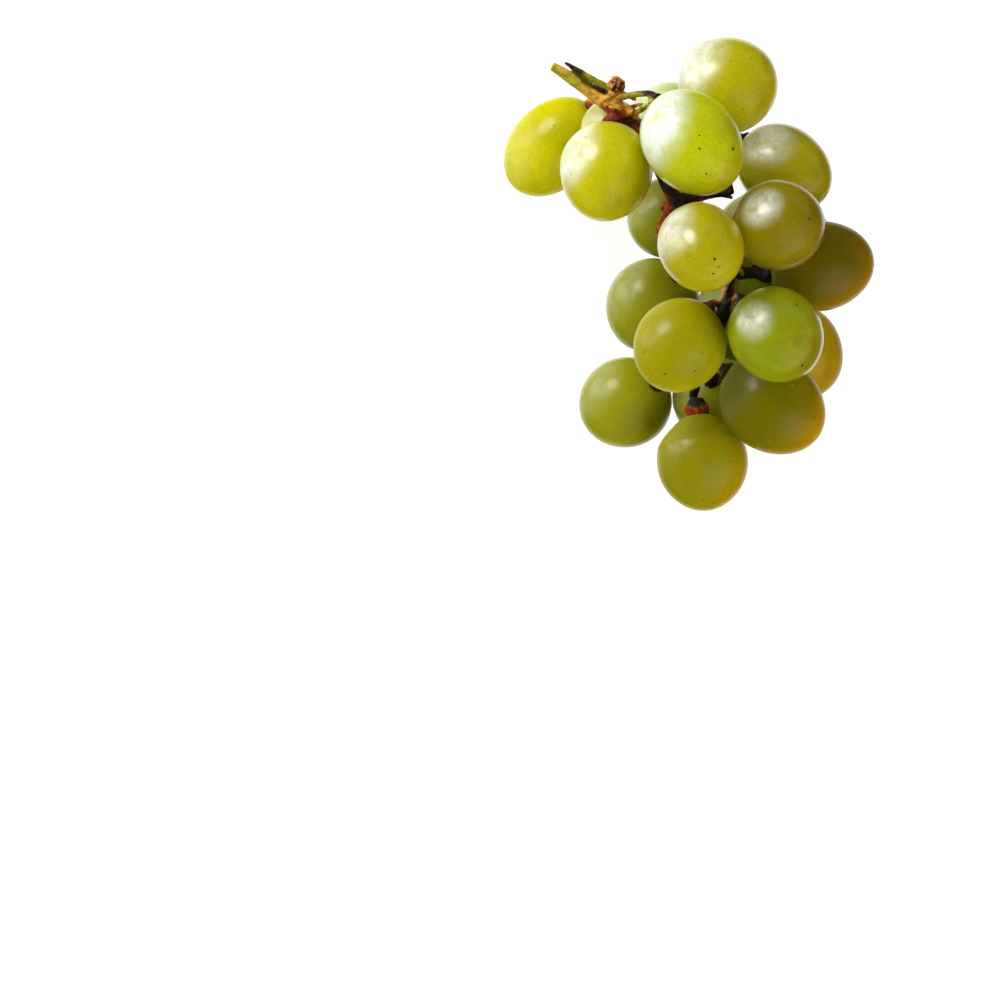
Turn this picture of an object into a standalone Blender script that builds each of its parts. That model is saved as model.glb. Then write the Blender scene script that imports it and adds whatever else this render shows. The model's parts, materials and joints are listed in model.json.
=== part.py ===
"""A bunch of green table grapes, as cut, lying on its back on a flat surface.

Units are metres, +Z is up and the surface is z = 0. +Y runs along the bunch towards
its cut stalk. The berries are stacked the way they would come to rest: each one is
let down at its own place until it meets the surface, another berry or the stem.
The stem is one solid: stalk, main axis, side branches, bare stubs and the short
stalk of every berry, which ends just short of the berry's flat seat.
"""

import math
from collections import namedtuple

import bmesh
import bpy
import numpy as np
from mathutils import Vector
from mathutils.bvhtree import BVHTree

# Berries. Places, widths and lengths in the list further down are in these two sizes.
BERRY_WIDTH = 0.0176
BERRY_LENGTH = 0.0196
BERRY_TAPER = 0.04        # how much fuller the stalk end is than the blossom end
BERRY_SIDES = 16
BERRY_RINGS = 9
CONTACT_SAG = 0.00035     # how far a berry that lies on the surface is pressed flat

CLEARANCE = 0.0003        # between any two pieces

# Stem, as radii along it from the cut end to the tip.
CUT_RADIUS = 0.00085
STALK_RADIUS = 0.00125
AXIS_RADIUS = 0.00115
TIP_RADIUS = 0.00085
BRANCH_RADIUS = 0.00105
TWIG_RADIUS = 0.0005      # the thin second stalk and the broken stubs
KNOB_RADIUS = 0.00145     # a bare receptacle that has lost its berry
NODE_SWELL = 1.3          # thickening where stalks leave the axis
STEM_STEP = 0.0016        # between the points of a stalk
STEM_ROUNDNESS = 2        # bevel resolution: eight sides

# Each berry's own short stalk and the flared receptacle at its end.
PEDICEL_RADIUS = 0.00065
PEDICEL_FOOT = 1.5        # how much thicker it is where it leaves the stem
PEDICEL_BOW = 0.4         # its bend above the receptacle, as a share of its length
PEDICEL_LEAN = 0.3        # its bend at the foot, as a share of the way to the upper bend
RECEPTACLE_RADIUS = 0.0017
RECEPTACLE_LENGTH = 0.0024
RECEPTACLE_PROFILE = ((0.5, 0.6), (0.75, 1.0), (1.0, 1.0))  # way down it, and how flared
SEAT_RIM = 0.0004         # margin of the berry's flat seat around its receptacle
SEAT_RADIUS = RECEPTACLE_RADIUS + SEAT_RIM

UP = Vector((0.0, 0.0, 1.0))

# Skin colours, linear RGB.
YELLOW_LIME = (0.46, 0.44, 0.02)
LIME = (0.36, 0.42, 0.02)
PALE_LIME = (0.52, 0.54, 0.16)
BRIGHT_GREEN = (0.26, 0.38, 0.02)
OLIVE = (0.24, 0.27, 0.01)
AMBER_OLIVE = (0.30, 0.23, 0.01)
DEEP_GREEN = (0.16, 0.22, 0.01)
STEM_BROWN = (0.13, 0.07, 0.02)

# place: across and along the bunch, in berry widths; width, length: times the two
# berry sizes; hang: the way the berry points, from its stalk to its blossom end;
# stalk: the stem node that carries it.
Berry = namedtuple("Berry", "name place width length hang stalk skin")

# From the surface upwards. These lie under the stem.
BACK_BERRIES = (
    Berry("grape_left_shoulder", (-1.48, 1.39), 0.93, 1.14, (-0.68, -0.66, -0.3), "shoulder", YELLOW_LIME),
    Berry("grape_back_top", (-0.18, 1.60), 1.02, 0.97, (0.3, 0.25, -0.92), "upper", PALE_LIME),
    Berry("grape_back_middle", (-0.23, 0.61), 0.88, 0.87, (-0.1, -0.2, -0.97), "branch_left", DEEP_GREEN),
    Berry("grape_back_upper_right", (0.93, 0.44), 0.97, 1.17, (0.9, 0.0, -0.4), "middle", DEEP_GREEN),
    Berry("grape_back_left", (-0.39, -0.36), 1.02, 0.97, (-0.5, -0.58, -0.6), "branch_left", DEEP_GREEN),
    Berry("grape_back_lower_left", (-0.69, -1.42), 0.99, 0.94, (-0.65, -0.4, -0.65), "low", DEEP_GREEN),
    Berry("grape_back_lower", (0.32, -1.38), 0.97, 0.94, (0.1, -0.4, -0.9), "low", DEEP_GREEN),
    Berry("grape_back_right", (1.24, -0.86), 0.92, 0.99, (0.35, -0.75, -0.55), "branch_right", AMBER_OLIVE),
    Berry("grape_small_shoulder", (-0.84, 1.56), 0.68, 0.66, (-0.1, -0.75, -0.65), "shoulder", PALE_LIME),
    Berry("grape_core", (0.57, -0.46), 0.95, 0.92, (0.1, -0.9, -0.3), "waist", DEEP_GREEN),
)

# These lie beside or on top of the stem.
FRONT_BERRIES = (
    Berry("grape_right_shoulder", (1.06, 1.15), 0.92, 1.02, (0.75, -0.5, 0.35), "branch_top", LIME),
    Berry("grape_top", (0.44, 2.06), 1.06, 1.00, (0.8, 0.15, 0.5), "upper", LIME),
    Berry("grape_right", (1.46, 0.08), 0.99, 1.05, (0.97, 0.15, -0.1), "branch_right", AMBER_OLIVE),
    Berry("grape_tip", (0.16, -2.07), 1.00, 0.97, (0.1, -0.97, 0.1), "tip", OLIVE),
    Berry("grape_lower_right", (0.93, -1.44), 1.05, 1.12, (0.75, -0.55, 0.3), "low", OLIVE),
    Berry("grape_left_inner", (-0.90, 1.11), 1.02, 1.00, (-0.1, -0.95, 0.3), "shoulder", YELLOW_LIME),
    Berry("grape_front_right", (0.99, 0.52), 1.00, 0.94, (0.65, 0.14, 0.75), "waist", OLIVE),
    Berry("grape_front_lower_right", (0.96, -0.68), 1.02, 1.00, (0.58, -0.6, 0.5), "lower", BRIGHT_GREEN),
    Berry("grape_front_lower_left", (-0.10, -0.80), 1.00, 0.96, (-0.55, -0.7, 0.4), "lower", LIME),
    Berry("grape_front_top", (0.04, 1.42), 1.05, 1.16, (0.6, -0.7, 0.4), "shoulder", LIME),
    Berry("grape_front_middle", (0.14, 0.27), 0.93, 1.05, (0.25, -0.48, 0.84), "middle", YELLOW_LIME),
)

# Stem nodes: across, along and up, in berry widths, and the radius there. A node
# that would cut into a back berry is lifted until it clears it.
STEM_NODES = {
    "cut": (-1.49, 2.27, 1.60, CUT_RADIUS),
    "bend": (-1.24, 2.11, 1.58, STALK_RADIUS),
    "shoulder": (-0.86, 1.86, 1.53, STALK_RADIUS * NODE_SWELL),
    "upper": (-0.40, 1.37, 1.45, AXIS_RADIUS),
    "fork": (-0.16, 0.78, 1.40, AXIS_RADIUS * NODE_SWELL),
    "middle": (0.18, 0.38, 1.42, AXIS_RADIUS * NODE_SWELL),
    "waist": (0.54, 0.02, 1.50, AXIS_RADIUS * NODE_SWELL),
    "lower": (0.43, -0.41, 1.62, AXIS_RADIUS * NODE_SWELL),
    "low": (0.21, -0.89, 1.45, AXIS_RADIUS),
    "tip": (0.05, -1.36, 1.20, TIP_RADIUS),
    "branch_neck": (0.33, 0.85, 1.30, TWIG_RADIUS),
    "branch_top": (0.46, 0.88, 1.25, BRANCH_RADIUS),
    "branch_left": (-0.31, 0.44, 1.22, BRANCH_RADIUS),
    "branch_right": (0.78, 0.00, 1.45, BRANCH_RADIUS),
    "twig_tip": (-1.35, 2.31, 1.58, TWIG_RADIUS / 2),
    "twig_bend": (-1.19, 2.16, 1.57, TWIG_RADIUS * NODE_SWELL),
    "twig_middle": (-0.88, 2.03, 1.52, TWIG_RADIUS * NODE_SWELL),
    "twig_end": (-0.57, 1.91, 1.45, TWIG_RADIUS),
    "knob_neck": (-0.87, 1.97, 1.64, TWIG_RADIUS * NODE_SWELL),
    "knob": (-0.79, 2.04, 1.68, KNOB_RADIUS),
    "knob_end": (-0.74, 2.09, 1.71, KNOB_RADIUS * 0.8),
    "stub_bend": (-0.62, 1.75, 1.62, TWIG_RADIUS * NODE_SWELL),
    "stub_low": (-0.47, 1.62, 1.60, TWIG_RADIUS * NODE_SWELL),
    "stub_high": (-0.44, 1.84, 1.62, TWIG_RADIUS),
}

# A branch meets an earlier run wherever that run was laid near the node they share.
STEM_AXIS = ("cut", "bend", "shoulder", "upper", "fork", "middle", "waist", "lower", "low", "tip")
STEM_BRANCHES = (
    ("fork", "branch_neck", "branch_top"),
    ("fork", "branch_left"),
    ("waist", "branch_right"),
    ("twig_tip", "twig_bend", "twig_middle", "twig_end"),
    ("shoulder", "twig_middle"),
    ("shoulder", "knob_neck", "knob", "knob_end"),
    ("shoulder", "stub_bend", "stub_low"),
    ("stub_bend", "stub_high"),
)

PUSH_ROUNDS = 80          # tries at moving a stalk clear of the berries
PUSH_EASE = 0.25          # how far a try evens out a bend before it pushes
PUSH_CLEARANCE = 1.5 * CLEARANCE
SCAN_STEP = BERRY_WIDTH / 40


def clear_scene():
    for obj in list(bpy.data.objects):
        bpy.data.objects.remove(obj, do_unlink=True)


def material(name, colour, roughness):
    """A plain material with one colour."""
    result = bpy.data.materials.new(name)
    result.use_nodes = True
    shader = result.node_tree.nodes["Principled BSDF"]
    shader.inputs["Base Color"].default_value = (*colour, 1.0)
    shader.inputs["Roughness"].default_value = roughness
    return result


# ---------------------------------------------------------------- berries


def berry_outline(width, length):
    """Half outline of a berry, from the middle of its flat seat to its blossom end."""
    start = math.asin(SEAT_RADIUS / (width / 2))
    points = []
    for ring in range(BERRY_RINGS + 1):
        angle = start + (math.pi - start) * ring / BERRY_RINGS
        fullness = 1 + BERRY_TAPER * math.cos(angle)
        points.append((width / 2 * math.sin(angle) * fullness, -length / 2 * math.cos(angle)))
    points.insert(0, (0.0, points[0][1]))
    points[-1] = (0.0, length / 2)
    return points


def berry_mesh(berry):
    """A berry about its own centre, turned so that it points along its hang."""
    outline = berry_outline(berry.width * BERRY_WIDTH, berry.length * BERRY_LENGTH)
    mesh = bmesh.new()
    verts = [mesh.verts.new((radius, 0.0, along)) for radius, along in outline]
    edges = [mesh.edges.new(pair) for pair in zip(verts, verts[1:])]
    bmesh.ops.spin(
        mesh, geom=verts + edges, axis=UP, cent=(0, 0, 0),
        steps=BERRY_SIDES, angle=math.tau, use_merge=True,
    )
    bmesh.ops.remove_doubles(mesh, verts=mesh.verts, dist=1e-6)
    bmesh.ops.recalc_face_normals(mesh, faces=mesh.faces)
    turn = UP.rotation_difference(Vector(berry.hang)).to_matrix()
    bmesh.ops.rotate(mesh, verts=mesh.verts, cent=(0, 0, 0), matrix=turn)
    return mesh


def seat_offset(berry):
    """From a berry's centre to the middle of its flat seat."""
    seat = berry_outline(berry.width * BERRY_WIDTH, berry.length * BERRY_LENGTH)[0]
    return Vector(berry.hang).normalized() * seat[1]


# ---------------------------------------------------------------- stacking


class Lump:
    """A convex lump, as points about its centre, or a ball when it has one point."""

    def __init__(self, centre, points, radius=0.0, of_stem=False):
        self.centre = np.array(centre, float)
        self.points = np.array(points, float)
        self.radius = radius
        self.of_stem = of_stem

    def reach(self, direction):
        return (self.points @ direction).max() + self.radius


def ball(centre, radius):
    """A stretch of the stem."""
    return Lump(centre, [(0.0, 0.0, 0.0)], radius, of_stem=True)


def gap(one, lift, other):
    """Free space between a lifted lump and another, across the line of centres."""
    line = other.centre - one.centre - lift
    distance = np.linalg.norm(line)
    line = line / distance
    return distance - one.reach(line) - other.reach(-line)


def resting_height(lumps, floor, placed):
    """Lowest height at which a group of lumps, let down from above, clears all else."""

    pairs = [
        (one, other) for one in lumps for other in placed
        if not (one.of_stem and other.of_stem)
    ]

    def is_free(height):
        lift = np.array((0.0, 0.0, height))
        return all(gap(one, lift, other) >= CLEARANCE for one, other in pairs)

    height = max([floor] + [other.centre[2] + 3 * BERRY_WIDTH for other in placed])
    while height > floor and is_free(height - SCAN_STEP):
        height -= SCAN_STEP
    if height <= floor:
        return floor
    low, high = height - SCAN_STEP, height
    while high - low > CLEARANCE / 100:
        middle = (low + high) / 2
        low, high = (low, middle) if is_free(middle) else (middle, high)
    return max(high, floor)


class Bunch:
    """The berries and stalks laid so far, and the lumps that later ones must clear."""

    def __init__(self):
        self.lumps = []
        self.berries = []

    def add_berry(self, berry):
        mesh = berry_mesh(berry)
        points = [vert.co.copy() for vert in mesh.verts]
        across, along = (share * BERRY_WIDTH for share in berry.place)
        body = Lump((across, along, 0.0), points)
        seat = seat_offset(berry)
        flare = ball(
            Vector((across, along, 0.0)) + seat * (1 + RECEPTACLE_LENGTH / 2 / seat.length),
            RECEPTACLE_RADIUS,
        )
        floor = body.reach(np.array((0.0, 0.0, -1.0))) - CONTACT_SAG
        height = resting_height([body, flare], floor, self.lumps)
        for lump in (body, flare):
            lump.centre[2] += height
        self.lumps += [body, flare]
        centre = Vector((across, along, height))
        if height < floor + CONTACT_SAG:
            flatten_underside(mesh, centre)
        self.berries.append((berry, centre, mesh))

    def add_stalk(self, points, radii):
        self.lumps += [ball(point, radius) for point, radius in zip(points, radii)]

    def surface(self):
        """All the berries' faces in one search tree."""
        points = []
        faces = []
        for _, centre, mesh in self.berries:
            first = len(points)
            points += [vert.co + centre for vert in mesh.verts]
            faces += [[first + vert.index for vert in face.verts] for face in mesh.faces]
        return BVHTree.FromPolygons(points, faces)


def flatten_underside(mesh, centre):
    """Cuts a berry level with the surface that it lies on."""
    cut = bmesh.ops.bisect_plane(
        mesh, geom=mesh.verts[:] + mesh.edges[:] + mesh.faces[:],
        plane_co=(0, 0, -centre.z), plane_no=UP, clear_inner=True, dist=1e-7,
    )
    rim = [item for item in cut["geom_cut"] if isinstance(item, bmesh.types.BMEdge)]
    bmesh.ops.edgeloop_fill(mesh, edges=rim)
    bmesh.ops.recalc_face_normals(mesh, faces=mesh.faces)
    mesh.verts.index_update()


# ---------------------------------------------------------------- stem


def smooth_run(knots):
    """Evenly spaced points on a smooth curve through knots of (x, y, z, radius)."""
    knots = [np.array(knot) for knot in knots]
    padded = [2 * knots[0] - knots[1], *knots, 2 * knots[-1] - knots[-2]]
    run = []
    for before, here, there, after in zip(padded, padded[1:], padded[2:], padded[3:]):
        steps = max(2, round(np.linalg.norm((there - here)[:3]) / STEM_STEP))
        for share in np.arange(steps) / steps:
            run.append(
                (2 * here + (there - before) * share
                 + (2 * before - 5 * here + 4 * there - after) * share**2
                 + (3 * here - before - 3 * there + after) * share**3) / 2
            )
    run.append(knots[-1])
    return [Vector(knot[:3]) for knot in run], [float(knot[3]) for knot in run]


def push_clear(points, radii, held, surface):
    """Moves the points between the held ends of a stalk out of the berries."""
    first, last = held
    for turn in range(PUSH_ROUNDS):
        if turn < PUSH_ROUNDS / 2:
            for place in range(first, last):
                middle = (points[place - 1] + points[place + 1]) / 2
                points[place] = points[place].lerp(middle, PUSH_EASE)
        for place in range(first, last):
            room = radii[place] + PUSH_CLEARANCE
            near, normal, _, distance = surface.find_nearest(points[place])
            away = points[place] - near
            if away.dot(normal) < 0:
                away = -away
                distance = -distance
            if distance < room:
                points[place] = near + away.normalized() * room
            points[place].z = max(points[place].z, room)


def pedicel(root, root_radius, berry, centre, surface):
    """A berry's own stalk, from its stem node to its seat."""
    hang = Vector(berry.hang).normalized()
    end = centre + seat_offset(berry) - hang * CLEARANCE
    neck = end - hang * RECEPTACLE_LENGTH
    bow = (neck - root).length * PEDICEL_BOW
    handle = neck - hang * bow
    steps = max(4, round((neck - root).length / STEM_STEP))
    points = []
    for step in range(steps):
        share = step / steps
        points.append(
            root * (1 - share) ** 3 + root.lerp(handle, PEDICEL_LEAN) * 3 * share * (1 - share) ** 2
            + handle * 3 * share**2 * (1 - share) + neck * share**3
        )
    radii = [PEDICEL_RADIUS] * steps
    radii[0] = min(root_radius, PEDICEL_FOOT * PEDICEL_RADIUS)
    points.append(neck)
    radii.append(PEDICEL_RADIUS)
    for share, flare in RECEPTACLE_PROFILE:
        points.append(neck.lerp(end, share))
        radii.append(PEDICEL_RADIUS + (RECEPTACLE_RADIUS - PEDICEL_RADIUS) * flare)
    push_clear(points, radii, (1, steps), surface)
    return points, radii


def stalk_object(name, points, radii):
    """A round stalk with closed ends, as a mesh object that the stem is joined from."""
    curve = bpy.data.curves.new(name, "CURVE")
    curve.dimensions = "3D"
    curve.bevel_depth = 1.0
    curve.bevel_resolution = STEM_ROUNDNESS
    curve.use_fill_caps = True
    spline = curve.splines.new("POLY")
    spline.points.add(len(points) - 1)
    for knot, point, radius in zip(spline.points, points, radii):
        knot.co = (*point, 1.0)
        knot.radius = radius
    guide = bpy.data.objects.new(name + "_guide", curve)
    bpy.context.scene.collection.objects.link(guide)
    mesh = bpy.data.meshes.new_from_object(
        guide.evaluated_get(bpy.context.evaluated_depsgraph_get())
    )
    bpy.data.objects.remove(guide)
    shape = bmesh.new()
    shape.from_mesh(mesh)
    bmesh.ops.remove_doubles(shape, verts=shape.verts, dist=1e-6)
    bmesh.ops.recalc_face_normals(shape, faces=shape.faces)
    shape.to_mesh(mesh)
    shape.free()
    return bpy.data.objects.new(name, mesh)


def lifted_nodes(bunch):
    """The stem's nodes, each raised where a back berry is in its way."""
    nodes = {}
    for name, (across, along, up, radius) in STEM_NODES.items():
        place = (across * BERRY_WIDTH, along * BERRY_WIDTH, 0.0)
        room = radius + CLEARANCE
        height = resting_height([ball(place, room)], room, bunch.lumps)
        nodes[name] = (*place[:2], max(up * BERRY_WIDTH, height), radius)
    return nodes


def lay_stem(bunch):
    """The axis and the branches, laid over the back berries."""
    nodes = lifted_nodes(bunch)
    surface = bunch.surface()
    runs = []
    laid = set()
    for names in (STEM_AXIS, *STEM_BRANCHES):
        for name in laid.intersection(names):
            nodes[name] = (*nearest_root(nodes[name], runs)[0], nodes[name][3])
        laid.update(names)
        points, radii = smooth_run([nodes[name] for name in names])
        push_clear(points, radii, (1, len(points) - 1), surface)
        bunch.add_stalk(points, radii)
        runs.append((points, radii))
    return nodes, runs


def nearest_root(node, runs):
    """The point of the laid stem that a node ended at."""
    laid = [(point, radius) for points, radii in runs for point, radius in zip(points, radii)]
    return min(laid, key=lambda item: (item[0] - Vector(node[:3])).length)


def build_stem(bunch, nodes, runs):
    """Every stalk joined into one solid, with the pieces that it is joined from."""
    surface = bunch.surface()
    stalks = list(runs)
    for berry, centre, _ in bunch.berries:
        root, root_radius = nearest_root(nodes[berry.stalk], runs)
        stalks.append(pedicel(root, root_radius, berry, centre, surface))
    pieces = bpy.data.collections.new("stem_pieces")
    bpy.context.scene.collection.children.link(pieces)
    for number, (points, radii) in enumerate(stalks[1:], start=1):
        piece = stalk_object(f"stem_piece_{number:02d}", points, radii)
        piece.hide_render = True
        piece.display_type = "WIRE"
        pieces.objects.link(piece)
    stem = stalk_object("stem", *stalks[0])
    bpy.context.scene.collection.objects.link(stem)
    join = stem.modifiers.new("join stalks", "BOOLEAN")
    join.operation = "UNION"
    join.operand_type = "COLLECTION"
    join.collection = pieces
    stem.data.materials.append(material("stem", STEM_BROWN, 0.6))
    stem.data.shade_smooth()
    return stem, list(pieces.objects)


def build_berries(bunch):
    objects = []
    for berry, centre, shape in bunch.berries:
        mesh = bpy.data.meshes.new(berry.name)
        shape.to_mesh(mesh)
        shape.free()
        mesh.shade_smooth()
        mesh.set_sharp_from_angle(angle=math.radians(40))
        mesh.materials.append(material(berry.name, berry.skin, 0.3))
        obj = bpy.data.objects.new(berry.name, mesh)
        obj.location = centre
        bpy.context.scene.collection.objects.link(obj)
        objects.append(obj)
    return objects


def centre_on_origin(objects, helpers):
    """Hangs everything from an empty so that the origin is under the bunch's middle."""
    bpy.context.view_layer.update()
    graph = bpy.context.evaluated_depsgraph_get()
    corners = []
    for obj in objects:
        mesh = obj.evaluated_get(graph).to_mesh()
        corners += [obj.matrix_world @ vert.co for vert in mesh.vertices]
        obj.evaluated_get(graph).to_mesh_clear()
    low = Vector(map(min, *corners))
    high = Vector(map(max, *corners))
    middle = (low + high) / 2
    frame = bpy.data.objects.new("bunch_frame", None)
    bpy.context.scene.collection.objects.link(frame)
    frame.location = (-middle.x, -middle.y, 0.0)
    for obj in (*objects, *helpers):
        obj.parent = frame


def main():
    clear_scene()
    bunch = Bunch()
    for berry in BACK_BERRIES:
        bunch.add_berry(berry)
    nodes, runs = lay_stem(bunch)
    for berry in FRONT_BERRIES:
        bunch.add_berry(berry)
    stem, pieces = build_stem(bunch, nodes, runs)
    centre_on_origin([stem, *build_berries(bunch)], pieces)


main()
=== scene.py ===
import json
import math

import bmesh
import bpy
from mathutils import Matrix, Vector, noise
from mathutils.bvhtree import BVHTree

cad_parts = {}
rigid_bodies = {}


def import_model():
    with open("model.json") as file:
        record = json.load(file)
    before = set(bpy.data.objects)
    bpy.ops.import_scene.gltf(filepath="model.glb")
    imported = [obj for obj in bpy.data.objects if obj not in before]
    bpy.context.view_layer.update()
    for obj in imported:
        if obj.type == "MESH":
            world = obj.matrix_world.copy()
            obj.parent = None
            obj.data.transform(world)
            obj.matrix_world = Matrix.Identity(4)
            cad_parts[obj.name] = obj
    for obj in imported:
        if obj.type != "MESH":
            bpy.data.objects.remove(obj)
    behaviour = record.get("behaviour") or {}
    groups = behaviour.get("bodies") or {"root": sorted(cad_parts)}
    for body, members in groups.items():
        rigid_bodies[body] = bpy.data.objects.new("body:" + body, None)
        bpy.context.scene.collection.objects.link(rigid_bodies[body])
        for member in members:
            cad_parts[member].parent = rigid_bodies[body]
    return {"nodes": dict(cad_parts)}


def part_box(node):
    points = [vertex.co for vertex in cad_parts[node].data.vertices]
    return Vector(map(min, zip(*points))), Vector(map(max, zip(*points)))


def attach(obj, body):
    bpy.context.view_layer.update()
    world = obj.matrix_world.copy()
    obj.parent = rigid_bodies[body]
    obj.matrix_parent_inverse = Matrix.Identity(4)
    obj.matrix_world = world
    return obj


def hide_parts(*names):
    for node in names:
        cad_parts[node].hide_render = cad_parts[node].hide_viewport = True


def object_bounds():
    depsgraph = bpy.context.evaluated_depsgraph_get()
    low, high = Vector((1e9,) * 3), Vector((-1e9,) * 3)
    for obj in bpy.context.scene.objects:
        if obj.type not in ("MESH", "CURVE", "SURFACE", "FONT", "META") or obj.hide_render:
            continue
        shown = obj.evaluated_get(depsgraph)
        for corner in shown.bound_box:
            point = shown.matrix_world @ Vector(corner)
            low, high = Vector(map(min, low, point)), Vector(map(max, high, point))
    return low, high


for startupObject in list(bpy.data.objects):
    bpy.data.objects.remove(startupObject)

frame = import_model()
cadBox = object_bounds()
print("frame loaded:", len(frame["nodes"]), "nodes")


# shared by every piece and material

upward = Vector((0, 0, 1))
weldDistance = 1e-6     # metres between points that are one point

# settings that many nodes share
smoothstep = {"interpolation_type": "SMOOTHSTEP"}
blend = {"data_type": "RGBA", "out": 2}
plus = {"operation": "ADD"}
times = {"operation": "MULTIPLY"}
dotProduct = {"operation": "DOT_PRODUCT", "out": "Value"}


def linearColour(code):
    # sRGB hex to a linear RGBA colour
    channels = [int(code[place:place + 2], 16) / 255 for place in (1, 3, 5)]
    return [c / 12.92 if c <= 0.04045 else ((c + 0.055) / 1.055) ** 2.4 for c in channels] + [1]


def addNode(tree, kind, inputs=None, out=0, **settings):
    # each input is a value, a hex colour or another node's output; one output comes back
    node = tree.nodes.new("ShaderNode" + kind)
    for name, value in settings.items():
        setattr(node, name, value)
    for socket, value in (inputs or {}).items():
        if isinstance(value, bpy.types.NodeSocket):
            tree.links.new(value, node.inputs[socket])
        else:
            node.inputs[socket].default_value = linearColour(value) if isinstance(value, str) else value
    return node.outputs[out] if node.outputs else None


def newMaterial(name):
    material = bpy.data.materials.new(name)
    material.use_nodes = True
    material.node_tree.nodes.clear()
    return material, material.node_tree


def newObject(name, shape, material=None):
    # the bmesh becomes an object of the scene, smooth shaded
    mesh = bpy.data.meshes.new(name)
    shape.to_mesh(mesh)
    shape.free()
    mesh.shade_smooth()
    if material:
        mesh.materials.append(material)
    piece = bpy.data.objects.new(name, mesh)
    bpy.context.scene.collection.objects.link(piece)
    return piece


# grape skin

berryForm = {
    "taper": 0.04,          # the stalk end is this much fuller than the blossom end
    "cadRings": 9,          # rings between seat and blossom end in the CAD berry
    "cadWidestRing": 4,
    "rings": 64,
    "sides": 64,
    "evenRings": 0.35,      # share of the ring spacing that is even, the rest crowds both ends
    "uneven": 0.0194444,    # how far the surface wanders, in half widths
    "unevenSize": 0.009,
    "unevenStep": 7.3,      # moves the waves on from berry to berry
    "seatDimple": 0.00022,
    "seatDimpleWidth": 0.0019,
    "blossomDimple": 0.00012,
    "blossomDimpleWidth": 0.0006,
    "pinchEnd": 1.15,       # radians from the stalk end, where a pinched neck has ended
    "pinchWidth": 0.45,
}

skinLook = {
    "patternStep": (0.037, 0.053, 0.029),   # moves the pattern on, so no two berries match
    "shadeSide": (0.80, -0.45, -0.35),      # the side away from the window
    "shadeRange": (-0.3, 1.1),      # where the shade colour sets in and is full, in half widths
    "mottleSize": 0.0050,   # cloudy changes of colour
    "mottleRange": (0.35, 0.65),
    "mottleReach": 0.22,    # how far they move the edge of the shade colour
    "streaks": 9.0,         # from stalk to blossom, over one turn of the berry
    "streakStretch": 0.3,
    "streakShare": 0.3,
    "poreGap": 0.0021,      # between the pale and brown breathing pores
    "poreSize": 0.00013,
    "poreEdge": 1.9,        # where a pore has faded out, in pore sizes
    "waxPatches": 1.5,      # in one mottle
    "waxRange": (0.48, 0.98),
    "grainSize": 0.0006,    # fine grain of the wax
    "grainInWax": 0.45,
    "grainRange": (0.42, 0.68),
    "grainDark": 0.16,
    "fleck": "#5E6A06",
    "haze": (-0.80, 0.50, 0.33),    # the side the pale haze faces: wax bloom with a painted highlight of the window
    "spread": 0.5,          # where the haze sets in and is full towards that side, in half widths
    "hazeFull": 1.02,
    "hazeBreaks": 0.7,      # share of the haze that its patches break up
    "topRange": (-0.15, 0.30),      # none below the first height and all above the second
    # strength and colour of the pale haze: wax bloom with a painted highlight
    "bloom": 1.15,
    "wax": "#F4F8EE",
    "fleshUnderWax": 0.1,   # light that the full haze of wax bloom and painted highlight still lets into the flesh
    "relief": 0.00002,      # height of the grain and of the pores
    "roughness": (0.29, 0.48),      # bare skin, full wax
    "gloss": 0.5,
    "coat": 0.55,
    "coatRoughness": 0.14,
    "depth": 0.0055,        # how far light travels in the flesh
}

# pores: which random channel picks them, from and to, how strong, colour
skinPores = [
    (1, 0.45, 0.50, 0.35, "#DADB92"),
    (0, 0.72, 0.80, 0.75, "#5A4512"),
]

# rings round both ends: from and to as shares of the way from stalk to blossom, how strong at
# each, colour: green shoulder, corky rim under the stalk, dry point of the blossom end
skinRings = [
    (0.05, 0.16, 0.45, 0.0, "#8FA21C"),
    (0.055, 0.085, 0.85, 0.0, "#6B4A18"),
    (0.978, 0.988, 0.0, 1.0, "#3A2A10"),
]

# what the darker berries share
deepSkin = {"bloom": 0.2, "gloss": 0.35, "slot": "skin_deep"}
amberSkin = {"bloom": 0.02, "gloss": 0.15, "slot": "skin_amber"}
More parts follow.
